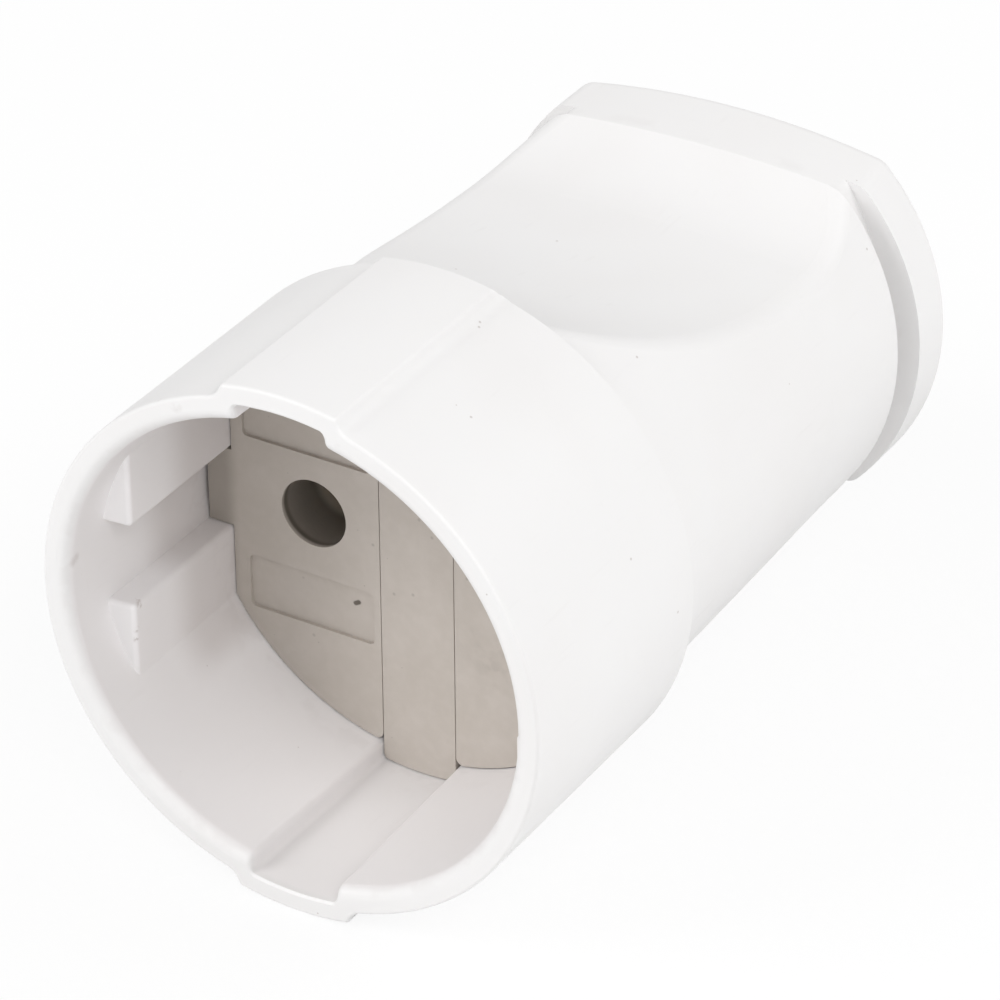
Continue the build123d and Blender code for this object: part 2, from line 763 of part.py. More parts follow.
# Neck and end flange, whose top and underside rise slightly towards the end
with BuildPart() as grip_end:
    with BuildSketch(at(groove_y)):
        with Locations((-groove_floor_shift, 0)):
            Circle(groove_floor_radius)
        with Locations((groove_floor_shift, 0)):
            Circle(groove_floor_radius, mode=Mode.INTERSECT)
    extrude(amount=-groove_width)
    with BuildSketch(at(flange_y)):
        Circle(flange_radius)
    extrude(amount=-flange_thickness)
    for end in sides:
        crown_plane = Plane(
            origin=(0, groove_y, end * finger_rear_z),
            x_dir=(1, 0, 0),
            z_dir=(0, -cos(flange_rise_angle), -end * sin(flange_rise_angle)),
        )
        with BuildSketch(crown_plane):
            with Locations((0, -end * flange_top_radius)):
                Circle(flange_top_radius)
        extrude(amount=2 * (rear_y - groove_y), both=True, mode=Mode.INTERSECT)
    fillet(
        grip_end.edges().filter_by(
            lambda edge: edge.center().Y > flange_y + 1
            and edge.center().Y < rear_y - 1
            and abs(edge.center().Z) > finger_low_z
        ),
        radius=flange_corner,
    )
    fillet(
        grip_end.edges().filter_by(
            lambda edge: edge.center().Y > groove_y + touch_gap
            and edge.center().Y < flange_y - touch_gap
            and abs(edge.center().Z) > finger_low_z
        ),
        radius=neck_corner,
    )
    fillet(grip_end.faces().sort_by(Axis.Y)[-1].edges(), radius=flange_edge_rounding)


# Rear housing: grip, neck, flange and cord inlet
with BuildPart() as rear_housing:
    add(outer_grip)
    add(grip_end.part)
    add(housing_inside.part, mode=Mode.SUBTRACT)
    with BuildSketch(at(shroud_end_y)):
        Circle(spigot_radius + touch_gap)
    extrude(amount=-(spigot_end_y - shroud_end_y + touch_gap), mode=Mode.SUBTRACT)
    # Cord inlet with a rounded mouth
    with BuildSketch(at(collar_front_y)):
        Circle(inlet_radius)
    extrude(amount=-(rear_y - collar_front_y), mode=Mode.SUBTRACT)
    fillet(
        rear_housing.edges()
        .filter_by(GeomType.CIRCLE)
        .filter_by(
            lambda edge: abs(edge.center().Y - rear_y) < 0.001 and abs(edge.radius - inlet_radius) < 0.001
        ),
        radius=inlet_rounding,
    )
    # Holes and counterbores for the housing screws
    with BuildSketch(at(boss_front_y)):
        with Locations((-housing_screw_x, -housing_screw_z), (housing_screw_x, housing_screw_z)):
            Circle(housing_screw_radius + 2 * hole_play)
    extrude(amount=-(rear_y - boss_front_y), mode=Mode.SUBTRACT)
    with BuildSketch(at(screw_seat_y)):
        with Locations((-housing_screw_x, -housing_screw_z), (housing_screw_x, housing_screw_z)):
            Circle(counterbore_radius)
    extrude(amount=-(rear_y - screw_seat_y), mode=Mode.SUBTRACT)
export_part(rear_housing.part, "rear_housing")
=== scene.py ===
"""Finishes, light and camera of a two-pin inline socket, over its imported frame.

Each operator finishes one piece or a group of like pieces; main calls them in order.
"""

from math import cos, radians, sin

import bmesh
import bpy
from bpy.props import FloatProperty, FloatVectorProperty, PointerProperty
from mathutils import Matrix, Vector


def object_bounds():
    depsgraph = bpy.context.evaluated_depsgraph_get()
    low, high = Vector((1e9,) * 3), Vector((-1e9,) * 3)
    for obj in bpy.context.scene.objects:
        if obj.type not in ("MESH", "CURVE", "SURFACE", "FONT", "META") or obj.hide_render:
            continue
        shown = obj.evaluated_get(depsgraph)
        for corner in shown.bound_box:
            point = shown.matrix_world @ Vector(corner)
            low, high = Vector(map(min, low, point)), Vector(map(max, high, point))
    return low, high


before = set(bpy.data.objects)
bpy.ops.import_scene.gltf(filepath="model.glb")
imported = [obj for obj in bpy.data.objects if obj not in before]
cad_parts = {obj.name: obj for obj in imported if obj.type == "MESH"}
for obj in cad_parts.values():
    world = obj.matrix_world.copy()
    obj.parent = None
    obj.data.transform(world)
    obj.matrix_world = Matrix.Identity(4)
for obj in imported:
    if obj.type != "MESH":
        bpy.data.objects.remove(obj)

bl_info = {
    "name": "Inline socket connector",
    "version": (1, 0, 0),
    "blender": (4, 5, 0),
    "location": "3D View > Sidebar > Socket",
    "description": "Finishes, light and camera of a two-pin inline socket",
    "category": "Object",
}

CAD_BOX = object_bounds()
MM = 0.001

# Places on the connector, whose long axis is Y from the rim backwards.
FACE_Y = 18.7 * MM
SHROUD_END_Y = 23.2 * MM
GROOVE_MIDDLE_Y = 64.0 * MM
GROOVE_HALF_WIDTH = 1.0 * MM
CUP_RADIUS = 19.9 * MM
PIN_X = 9.5 * MM
PIN_HOLE_RADIUS = 3.0 * MM

# Ranges over which a mask rises from 0 to 1.
CUP_WALL_RADII = (CUP_RADIUS + 2.0 * MM, CUP_RADIUS + 1.4 * MM)
CUP_MOUTH_Y = (0.3 * MM, 0.9 * MM)
CUP_BOTTOM_Y = (FACE_Y - 4.0 * MM, FACE_Y)
RIM_EDGE_Y = (1.0 * MM, 0.2 * MM)
RIM_EDGE_RADII = (21.0 * MM, 20.4 * MM)
# The keys' flanks inside the cup get painted shade over these two ranges.
KEY_SHADE_X = (-14.5 * MM, -16.5 * MM)
KEY_SHADE_Y = (9.0 * MM, 14.0 * MM)
SEAM_Y = (SHROUD_END_Y + 0.6 * MM, SHROUD_END_Y)
# Painted shade on the face, in its pin holes, on its tabs and over its left side, spans these ranges.
HOLE_WALL_RADII = (PIN_HOLE_RADIUS + 0.10 * MM, PIN_HOLE_RADIUS + 0.02 * MM)
HOLE_START_DEPTHS = (0.1 * MM, 0.5 * MM)
HOLE_END_DEPTHS = (5.6 * MM, 4.4 * MM)
FACE_DEPTHS = (1.0 * MM, 0.5 * MM)
FACE_TAB_X = (16.4 * MM, 18.0 * MM)
FACE_LEFT_X = (1.0 * MM, -15.0 * MM)

# How strongly each kind of wear, dirt, darkening and painted shade covers the plastic.
RIM_WEAR = 0.12
# Strength of the darkening of the cup's walls towards its bottom.
CUP_BOTTOM_DARKENING = 0.16
# Strength of the painted shade on the keys' flanks.
KEY_PAINTED_SHADE = 0.65
KEY_SCUFF = 0.9
RIM_SCUFF = 0.5
SEAM_DIRT = 0.2
GROOVE_DIRT = 0.1
# Strength of the painted shade deep in the pin holes.
HOLE_PAINTED_SHADE = 0.78
# Strength of the painted shade on the tabs beside the keys.
TAB_PAINTED_SHADE = 0.28
# Strength of the painted shade over the left side of the face.
LEFT_PAINTED_SHADE = 0.28
SMEAR = 0.25

WHITE_PLASTIC_IOR = 1.49
BEIGE_PLASTIC_IOR = 1.47

# The stage, in metres.
FLOOR_RADIUS = 4.0
FLOOR_SIDES = 96
LAMP_SIZE = 0.6
LAMP_TARGET = (0.0, 0.03, 0.0)
KEY_LAMP_PLACE = (-0.61, -0.70, 0.74)
FRONT_LAMP_PLACE = (0.66, -0.62, 0.76)
SIDE_LAMP_PLACE = (0.83, 0.46, 0.74)
CAMERA_AIM = (0.0, 18.712 * MM, 0.0)
SENSOR_WIDTH_MM = 36.0

# Single marks, placed as in the photograph.
KEY_SCUFFS = (
    (-17.67 * MM, 5.81 * MM, -3.60 * MM),
    (-17.25 * MM, 5.61 * MM, -3.81 * MM),
    (-17.25 * MM, 5.04 * MM, -5.82 * MM),
    (-17.25 * MM, 4.97 * MM, -6.72 * MM),
)
RIM_SCUFFS = (
    (-10.39 * MM, 0.0, 19.27 * MM),
    (-9.03 * MM, 0.0, 19.69 * MM),
    (4.88 * MM, 0.0, 20.95 * MM),
    (-19.94 * MM, 1.15 * MM, 1.92 * MM),
)
SHROUD_SPECKS = (
    (5.70 * MM, 19.20 * MM, 21.56 * MM),
    (5.91 * MM, 18.71 * MM, 21.43 * MM),
    (10.57 * MM, 9.90 * MM, 19.52 * MM),
    (22.20 * MM, 20.80 * MM, 0.11 * MM),
    (20.95 * MM, 15.66 * MM, 7.32 * MM),
)
HOUSING_SPECKS = (
    (-3.57 * MM, 46.29 * MM, 13.00 * MM),
    (-6.01 * MM, 34.72 * MM, 15.29 * MM),
    (13.27 * MM, 29.84 * MM, 15.41 * MM),
    (16.48 * MM, 62.03 * MM, 10.38 * MM),
)
FACE_FLECK = (
    (-5.64 * MM, 19.00 * MM, -7.20 * MM),
    (-5.80 * MM, 19.00 * MM, -7.30 * MM),
    (-5.97 * MM, 19.00 * MM, -7.40 * MM),
)
FACE_SPECKS = (
    (-4.01 * MM, 18.70 * MM, -1.15 * MM),
    (-2.14 * MM, 18.70 * MM, -5.11 * MM),
    (-9.82 * MM, 18.70 * MM, -11.54 * MM),
    (-10.87 * MM, 19.10 * MM, -6.60 * MM),
    (0.30 * MM, 18.70 * MM, 2.53 * MM),
    (1.46 * MM, 18.70 * MM, 1.26 * MM),
    (-0.38 * MM, 18.70 * MM, -4.62 * MM),
    (4.62 * MM, 18.70 * MM, -1.49 * MM),
)
FACE_SMUDGES = (
    (4.83 * MM, 18.70 * MM, -7.28 * MM),
    (6.55 * MM, 18.70 * MM, -9.89 * MM),
    (7.83 * MM, 18.70 * MM, -8.42 * MM),
)


class Value:
    """A number that varies over a surface. Arithmetic on it adds Math nodes."""

    def __init__(self, tree, socket):
        self.tree = tree
        self.socket = socket

    def math(self, operation, first, second):
        return self.tree.node("ShaderNodeMath", {"operation": operation}, {0: first, 1: second})

    def __add__(self, other):
        return self.math("ADD", self, other)

    def __sub__(self, other):
        return self.math("SUBTRACT", self, other)

    def __rsub__(self, other):
        return self.math("SUBTRACT", other, self)

    def __mul__(self, other):
        return self.math("MULTIPLY", self, other)

    __radd__ = __add__
    __rmul__ = __mul__


class Tree:
    """A node tree in the making, with the masks and patterns that the finishes share."""

    def __init__(self, owner):
        owner.use_nodes = True
        self.nodes = owner.node_tree.nodes
        self.links = owner.node_tree.links

    def set(self, socket, value):
        """Links a value to a socket, or writes a number or colour on it."""
        if isinstance(value, Value):
            self.links.new(value.socket, socket)
        else:
            socket.default_value = value

    def node(self, kind, settings=None, sockets=None, output=0):
        """Adds a node, sets its settings and then its sockets, and returns one of its outputs."""
        node = self.nodes.new(kind)
        for name, value in (settings or {}).items():
            setattr(node, name, value)
        for name, value in (sockets or {}).items():
            self.set(node.inputs[name], value)
        return Value(self, node.outputs[output])

    def place(self):
        """The point on the piece, in metres."""
        return self.node("ShaderNodeTexCoord", output="Object")

    def axis(self, name):
        """One coordinate of the point, in metres."""
        return self.node("ShaderNodeSeparateXYZ", sockets={0: self.place()}, output=name)

    def from_axis(self):
        """The distance from the connector's long axis, in metres."""
        flat = self.node(
            "ShaderNodeVectorMath", {"operation": "MULTIPLY"}, {0: self.place(), 1: (1.0, 0.0, 1.0)}
        )
        return self.node("ShaderNodeVectorMath", {"operation": "LENGTH"}, {0: flat}, "Value")

    def between(self, value, start, end):
        """0 where the value is start or beyond, 1 where it is end or beyond, smooth between."""
        return self.node(
            "ShaderNodeMapRange",
            {"interpolation_type": "SMOOTHSTEP"},
            {"Value": value, "From Min": start, "From Max": end},
        )

    def near(self, point, reach):
        """1 at a point, fading to 0 at that distance from it."""
        distance = self.node(
            "ShaderNodeVectorMath", {"operation": "DISTANCE"}, {0: self.place(), 1: point}, "Value"
        )
        return self.between(distance, reach, reach * 0.3)

    def near_any(self, points, reach):
        """1 at any of several points, fading to 0 at that distance from each."""
        mask = self.near(points[0], reach)
        for point in points[1:]:
            mask = mask + self.near(point, reach)
        return mask

    def cloud(self, size, detail=2.0, stretch=(1.0, 1.0, 1.0)):
        """Cloudy values from 0 to 1, with features of about that size in metres."""
        vector = self.node(
            "ShaderNodeVectorMath", {"operation": "MULTIPLY"}, {0: self.place(), 1: stretch}
        )
        return self.node(
            "ShaderNodeTexNoise", sockets={"Vector": vector, "Scale": 1 / size, "Detail": detail}
        )

    def dust(self, spacing, size, share):
        """Small round specks in about that share of the cells of a scatter."""
        distance = self.node(
            "ShaderNodeTexVoronoi", sockets={"Vector": self.place(), "Scale": 1 / spacing}
        )
        speck = self.between(distance, size / spacing, size / spacing * 0.4)
        return speck * self.between(self.cloud(spacing * 1.7), 0.62 - share * 0.3, 0.66 - share * 0.3)

    def scratches(self, size, along):
        """Thin broken lines along one axis."""
        stretch = tuple(0.06 if name == along else 1.0 for name in "XYZ")
        line = self.between(self.cloud(size, 1.0, stretch), 0.66, 0.72)
        return line * self.between(self.cloud(size * 12), 0.5, 0.62)

    def mixed(self, amount, colour, other):
        """The first colour, turned into the other where the amount is 1."""
        return self.node("ShaderNodeMix", {"data_type": "RGBA"}, {0: amount, 6: colour, 7: other}, 2)

    def relief(self, height, depth, under=None):
        """A normal for a relief that deep in metres, over another normal if one is given."""
        sockets = {"Height": height, "Distance": depth}
        if under is not None:
            sockets["Normal"] = under
        return self.node("ShaderNodeBump", sockets=sockets)


def new_finish(name):
    """A new material's tree and its shader."""
    material = bpy.data.materials.new(name)
    tree = Tree(material)
    return material, tree, tree.nodes["Principled BSDF"]


def dress(names, material):
    """Puts a material on CAD nodes."""
    for name in names:
        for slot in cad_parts[name].material_slots:
            slot.material = material


def opaque(colour):
    """A colour property as a socket's colour."""
    return (*colour, 1.0)


class ShellLook(bpy.types.PropertyGroup):
    """Satin white plastic of the front shroud and the rear housing."""

    colour: FloatVectorProperty(
        name="Colour", description="Clean white plastic", subtype="COLOR", default=(0.816, 0.808, 0.805),
        min=0.0, max=1.0,
    )
    aged_colour: FloatVectorProperty(
        name="Aged colour", description="Cloudy, slightly yellowed patches", subtype="COLOR",
        default=(0.792, 0.777, 0.770), min=0.0, max=1.0,
    )
    # A lighter copy of the white for the cup's inside: painted light for the light bounced inside the cup.
    cup_lightened_colour: FloatVectorProperty(
        name="Lightened cup colour", description="Plastic inside the cup, painted lighter for light bounced inside it", subtype="COLOR",
        default=(0.857, 0.837, 0.838), min=0.0, max=1.0,
    )
    # This colour also serves as the painted shade on the keys' flanks inside the cup.
    dirt_and_shade_colour: FloatVectorProperty(
        name="Dirt and shade colour", description="Handling dirt in scuffs and seams, and painted shade inside the cup", subtype="COLOR",
        default=(0.36, 0.30, 0.27), min=0.0, max=1.0,
    )
    roughness: FloatProperty(
        name="Roughness", description="Roughness of clean plastic", subtype="FACTOR", default=0.45,
        min=0.0, max=1.0,
    )
    grain_size: FloatProperty(
        name="Grain size", description="Width of the moulding grain", subtype="DISTANCE", unit="LENGTH",
        default=0.45 * MM,
    )
    grain_depth: FloatProperty(
        name="Grain depth", description="Depth of the moulding grain", subtype="DISTANCE", unit="LENGTH",
        default=0.004 * MM,
    )
    # This strength also scales the painted shade on the keys' flanks inside the cup.
    wear: FloatProperty(
        name="Wear", description="Strength of scuffs, dust, scratches and painted shade inside the cup", subtype="FACTOR", default=0.5,
        min=0.0, max=1.0,
    )


class ContactFaceLook(bpy.types.PropertyGroup):
    """Matt beige-grey plastic of the contact block, its two panels and the cord clamp."""

    colour: FloatVectorProperty(
        name="Colour", description="Beige-grey plastic", subtype="COLOR", default=(0.57, 0.52, 0.467),
        min=0.0, max=1.0,
    )
    pale_colour: FloatVectorProperty(
        name="Pale colour", description="Paler clouds in the plastic", subtype="COLOR",
        default=(0.632, 0.58, 0.53), min=0.0, max=1.0,
    )
    smudge_colour: FloatVectorProperty(
        name="Smudge colour", description="Faint grey smudges and specks", subtype="COLOR",
        default=(0.33, 0.30, 0.27), min=0.0, max=1.0,
    )
    # The colour of the face's painted shade, and of its one fleck.
    shade_and_fleck_colour: FloatVectorProperty(
        name="Shade and fleck colour", description="Painted shade in the pin holes, on the tabs and on the left, and a fleck", subtype="COLOR",
        default=(0.13, 0.11, 0.09), min=0.0, max=1.0,
    )
    roughness: FloatProperty(
        name="Roughness", description="Roughness of clean plastic", subtype="FACTOR", default=0.52,
        min=0.0, max=1.0,
    )
    grain_size: FloatProperty(
        name="Grain size", description="Width of the matt texture", subtype="DISTANCE", unit="LENGTH",
        default=0.28 * MM,
    )
    grain_depth: FloatProperty(
        name="Grain depth", description="Depth of the matt texture", subtype="DISTANCE", unit="LENGTH",
        default=0.010 * MM,
    )
    wear: FloatProperty(
        name="Wear", description="Strength of smudges and specks", subtype="FACTOR", default=0.5,
        min=0.0, max=1.0,
    )


class MetalLook(bpy.types.PropertyGroup):
    """Brass of the contacts and inserts, and plated steel of the springs, washers and screws."""

    brass_colour: FloatVectorProperty(
        name="Brass colour", description="Bare brass", subtype="COLOR", default=(0.74, 0.56, 0.28),
        min=0.0, max=1.0,
    )
    tarnish_colour: FloatVectorProperty(
        name="Tarnish colour", description="Dull patches on the brass", subtype="COLOR",
        default=(0.38, 0.26, 0.13), min=0.0, max=1.0,
    )
    steel_colour: FloatVectorProperty(
        name="Steel colour", description="Zinc-plated steel", subtype="COLOR", default=(0.60, 0.60, 0.61),
        min=0.0, max=1.0,
    )
    dull_colour: FloatVectorProperty(
        name="Dull colour", description="Dull patches on the steel", subtype="COLOR",
        default=(0.36, 0.36, 0.37), min=0.0, max=1.0,
    )
    roughness: FloatProperty(
        name="Roughness", description="Roughness of clean metal", subtype="FACTOR", default=0.3,
        min=0.0, max=1.0,
    )
    tool_mark_size: FloatProperty(
        name="Tool mark size", description="Width of drawing and turning marks", subtype="DISTANCE",
        unit="LENGTH", default=0.12 * MM,
    )


class StageLook(bpy.types.PropertyGroup):
    """Floor, light and camera."""

    floor_colour: FloatVectorProperty(
        name="Floor colour", description="Pale floor", subtype="COLOR", default=(0.93, 0.93, 0.93),
        min=0.0, max=1.0,
    )
    floor_whiteness: FloatProperty(
        name="Floor whiteness", description="How far the camera sees the floor as plain white",
        subtype="FACTOR", default=0.88, min=0.0, max=1.0,
    )
    sky_level: FloatProperty(
        name="Sky level", description="Even light from all round", subtype="FACTOR", default=0.46,
        min=0.0, max=2.0,
    )
    key_power: FloatProperty(
        name="Key power", description="Large soft lamp at the front, left and above", subtype="POWER",
        unit="POWER", default=6.1,
    )
    front_power: FloatProperty(
        name="Front power", description="Large soft lamp at the front, right and above", subtype="POWER",
        unit="POWER", default=4.2,
    )
    side_power: FloatProperty(
        name="Side power", description="Large soft lamp at the right, behind and above", subtype="POWER",
        unit="POWER", default=4.7,
    )
    azimuth: FloatProperty(
        name="Azimuth", description="Camera's turn to the right of the front", subtype="ANGLE",
        unit="ROTATION", default=radians(31.311),
    )
    elevation: FloatProperty(
        name="Elevation", description="Camera's height as an angle", subtype="ANGLE", unit="ROTATION",
        default=radians(31.863),
    )
    roll: FloatProperty(
        name="Roll", description="Camera's turn about its own line of sight", subtype="ANGLE",
        unit="ROTATION", default=radians(-0.386),
    )
    distance: FloatProperty(
        name="Distance", description="From the camera to the point it aims at", subtype="DISTANCE",
        unit="LENGTH", default=397.137 * MM,
    )
    aside: FloatVectorProperty(
        name="Aside", description="Camera's move along the picture's right and up", subtype="XYZ",
        unit="LENGTH", size=2, default=(6.516 * MM, 3.617 * MM),
    )
    lens: FloatProperty(
        name="Lens", description="Focal length on a 36 mm sensor, in millimetres", default=183.642,
        min=10.0,
    )


def white_plastic(name, look, marks_and_shade, speck_points, lightened_part=None):
    """Moulded white with clouds, grain, dust, fine scratches and the piece's own marks, which on the shroud
    include painted shade.

    The mask given as the last argument gets the cup's lighter colour, painted light that stands in for
    light bounced inside the cup.
    """
    material, tree, shader = new_finish(name)
    clouds = tree.between(tree.cloud(14 * MM, 2.0), 0.35, 0.75)
    dust = tree.dust(2.6 * MM, 0.10 * MM, 0.25) + tree.near_any(speck_points, 0.16 * MM)
    lines = tree.scratches(0.5 * MM, "Y") + tree.scratches(0.4 * MM, "Z") * 0.6
    # On the shroud these marks include painted shade on the keys' flanks and the darkening towards the
    # cup's bottom.
    darkened = marks_and_shade(tree)
    colour = tree.mixed(clouds * 0.5, opaque(look.colour), opaque(look.aged_colour))
    # Painted light: the cup's inside gets a lighter colour in place of light bounced inside it.
    if lightened_part is not None:
        colour = tree.mixed(lightened_part(tree), colour, opaque(look.cup_lightened_colour))
    colour = tree.mixed((darkened + dust) * look.wear, colour, opaque(look.dirt_and_shade_colour))
    colour = tree.mixed(lines * (look.wear * 0.04), colour, opaque(look.dirt_and_shade_colour))
    handled = tree.cloud(4.5 * MM, 4.0)
    rough = handled * 0.12 + lines * 0.12 + darkened * 0.2 + (look.roughness - 0.06)
    waves = tree.relief(tree.cloud(7 * MM, 1.0), 0.05 * MM)
    grain = tree.relief(tree.cloud(look.grain_size, 2.0), look.grain_depth, waves)
    shader.inputs["IOR"].default_value = WHITE_PLASTIC_IOR
    tree.set(shader.inputs["Base Color"], colour)
    tree.set(shader.inputs["Roughness"], rough)
    tree.set(shader.inputs["Normal"], grain)
    return material


def cup_inside(tree):
    """1 on the walls, keys and channels inside the cup."""
    inside = tree.between(tree.from_axis(), *CUP_WALL_RADII)
    return inside * tree.between(tree.axis("Y"), *CUP_MOUTH_Y)


def shroud_marks_and_shade(tree):
    """Worn rim edge, scuffs, painted shade on the keys' flanks and darkening of the cup's walls towards its
    bottom.
    """
    broken = tree.between(tree.cloud(2.2 * MM, 4.0), 0.48, 0.62)
    at_rim = tree.between(tree.axis("Y"), *RIM_EDGE_Y)
    inner_edge = tree.between(tree.from_axis(), *RIM_EDGE_RADII)
    rim_wear = at_rim * inner_edge * broken * RIM_WEAR
    in_cup = tree.between(tree.from_axis(), *CUP_WALL_RADII)
    deep = tree.between(tree.axis("Y"), *CUP_BOTTOM_Y)
    # The cup's walls darken towards the bottom of the cup.
    cup_bottom_darkening = in_cup * deep * broken * CUP_BOTTOM_DARKENING
    # Painted shade on the keys' flanks deep in the cup, on the left.
    behind_keys = tree.between(tree.axis("Y"), *KEY_SHADE_Y)
    key_painted_shade = behind_keys * tree.between(tree.axis("X"), *KEY_SHADE_X) * in_cup * KEY_PAINTED_SHADE
    ragged = tree.between(tree.cloud(0.4 * MM), 0.42, 0.62)
    key_scuffs = tree.near_any(KEY_SCUFFS, 0.42 * MM) * ragged * KEY_SCUFF
    rim_scuffs = tree.near_any(RIM_SCUFFS, 0.8 * MM) * broken * RIM_SCUFF
    return rim_wear + cup_bottom_darkening + key_painted_shade + key_scuffs + rim_scuffs


def housing_marks(tree):
    """Dirt in the side grooves and along the seam with the shroud."""
    broken = tree.between(tree.cloud(3.0 * MM, 4.0), 0.45, 0.62)
    seam = tree.between(tree.axis("Y"), *SEAM_Y)
    from_front = tree.between(tree.axis("Y"), GROOVE_MIDDLE_Y - GROOVE_HALF_WIDTH, GROOVE_MIDDLE_Y)
    from_back = tree.between(tree.axis("Y"), GROOVE_MIDDLE_Y + GROOVE_HALF_WIDTH, GROOVE_MIDDLE_Y)
    return (seam * SEAM_DIRT + from_front * from_back * GROOVE_DIRT) * broken


def face_painted_shade(tree):
    """Painted shade inside the pin holes, on the tabs beside the keys and over the left side."""
    across = tree.node("ShaderNodeMath", {"operation": "ABSOLUTE"}, {0: tree.axis("X")})
    up = tree.axis("Z")
    offset = across - PIN_X
    from_pin = tree.node("ShaderNodeMath", {"operation": "SQRT"}, {0: offset * offset + up * up})
    depth = tree.axis("Y") - FACE_Y
    along_hole = tree.between(depth, *HOLE_START_DEPTHS) * tree.between(depth, *HOLE_END_DEPTHS)
    # Painted shade on the walls deep in the pin holes.
    in_hole = tree.between(from_pin, *HOLE_WALL_RADII) * along_hole
    # Painted shade on the tabs beside the keys.
    on_tab = tree.between(across, *FACE_TAB_X)
    # Painted shade over the left side of the face.
    on_left = tree.between(tree.axis("X"), *FACE_LEFT_X) * tree.between(depth, *FACE_DEPTHS)
    return in_hole * HOLE_PAINTED_SHADE + on_tab * TAB_PAINTED_SHADE + on_left * LEFT_PAINTED_SHADE


def beige_plastic(name, look, smudged_and_shaded):
    """Matt beige-grey moulding with pale clouds, fine specks and, on the face, smudges, a fleck and painted
    shade in the pin holes, on the tabs and over the left side.
    """
    material, tree, shader = new_finish(name)
    clouds = tree.between(tree.cloud(5 * MM, 4.0), 0.40, 0.68)
    mottle = tree.between(tree.cloud(0.9 * MM, 3.0), 0.38, 0.70)
    darkened = tree.dust(1.5 * MM, 0.09 * MM, 0.5)
    if smudged_and_shaded:
        blotchy = tree.between(tree.cloud(1.2 * MM, 3.0), 0.4, 0.65)
        smear = tree.near_any(FACE_SMUDGES, 2.4 * MM) * blotchy * SMEAR
        darkened = darkened + tree.near_any(FACE_SPECKS, 0.2 * MM) + smear
    colour = tree.mixed(clouds * 0.5 + mottle * 0.3, opaque(look.colour), opaque(look.pale_colour))
    colour = tree.mixed(darkened * look.wear, colour, opaque(look.smudge_colour))
    if smudged_and_shaded:
        # Painted shade in the pin holes, on the tabs and over the left side, plus a fleck on the face.
        shade_and_fleck = face_painted_shade(tree) + tree.near_any(FACE_FLECK, 0.28 * MM)
        colour = tree.mixed(shade_and_fleck, colour, opaque(look.shade_and_fleck_colour))
    rough = clouds * 0.1 + mottle * 0.08 + (look.roughness - 0.08)
    waves = tree.relief(tree.cloud(4 * MM, 1.0), 0.03 * MM)
    grain = tree.relief(tree.cloud(look.grain_size, 3.0), look.grain_depth, waves)
    shader.inputs["IOR"].default_value = BEIGE_PLASTIC_IOR
    tree.set(shader.inputs["Base Color"], colour)
    tree.set(shader.inputs["Roughness"], rough)
    tree.set(shader.inputs["Normal"], grain)
    return material


def worked_metal(name, look, colour, dull_colour):
    """Bare metal with tool marks along the part and dull patches."""
    material, tree, shader = new_finish(name)
    patches = tree.between(tree.cloud(2.5 * MM, 4.0), 0.46, 0.66)
    tool_marks = tree.cloud(look.tool_mark_size, 2.0, (1.0, 0.05, 1.0))
    shader.inputs["Metallic"].default_value = 1.0
    tree.set(shader.inputs["Base Color"], tree.mixed(patches * 0.55, opaque(colour), opaque(dull_colour)))
    tree.set(shader.inputs["Roughness"], patches * 0.25 + tool_marks * 0.12 + look.roughness)
    tree.set(shader.inputs["Normal"], tree.relief(tool_marks, 0.006 * MM))
    return material


class SOCKET_OT_front_shroud(bpy.types.Operator):
    """Finish the front shroud in white plastic with a worn rim and scuffed keys"""

    bl_idname = "socket.finish_front_shroud"
    bl_label = "Finish front shroud"

    def execute(self, context):
        look = context.scene.socket_shell
        dress(
            ["front_shroud"],
            white_plastic("shroud_white_plastic", look, shroud_marks_and_shade, SHROUD_SPECKS, cup_inside),
        )
        return {"FINISHED"}


class SOCKET_OT_rear_housing(bpy.types.Operator):
    """Finish the rear housing in white plastic with dirt in its grooves"""

    bl_idname = "socket.finish_rear_housing"
    bl_label = "Finish rear housing"

    def execute(self, context):
        look = context.scene.socket_shell
        dress(["rear_housing"], white_plastic("housing_white_plastic", look, housing_marks, HOUSING_SPECKS))
        return {"FINISHED"}


class SOCKET_OT_contact_face(bpy.types.Operator):
    """Finish the contact block and its two face panels in beige-grey plastic"""

    bl_idname = "socket.finish_contact_face"
    bl_label = "Finish contact face"

    def execute(self, context):
        look = context.scene.socket_contact_face
        dress(
            ["contact_block", "left_face_panel", "right_face_panel"],
            beige_plastic("contact_face_beige_plastic", look, True),
        )
        return {"FINISHED"}


class SOCKET_OT_cord_clamp(bpy.types.Operator):
    """Finish the cord clamp bar in plain beige-grey plastic"""

    bl_idname = "socket.finish_cord_clamp"
    bl_label = "Finish cord clamp"

    def execute(self, context):
        look = context.scene.socket_contact_face
        dress(["cord_clamp_bar"], beige_plastic("clamp_beige_plastic", look, False))
        return {"FINISHED"}


class SOCKET_OT_brass_parts(bpy.types.Operator):
    """Finish the two contacts and the threaded inserts in brass"""

    bl_idname = "socket.finish_brass_parts"
    bl_label = "Finish brass parts"

    def execute(self, context):
        look = context.scene.socket_metal
        dress(
            ["left_contact", "right_contact", "threaded_inserts"],
            worked_metal("contact_brass", look, look.brass_colour, look.tarnish_colour),
        )
        return {"FINISHED"}


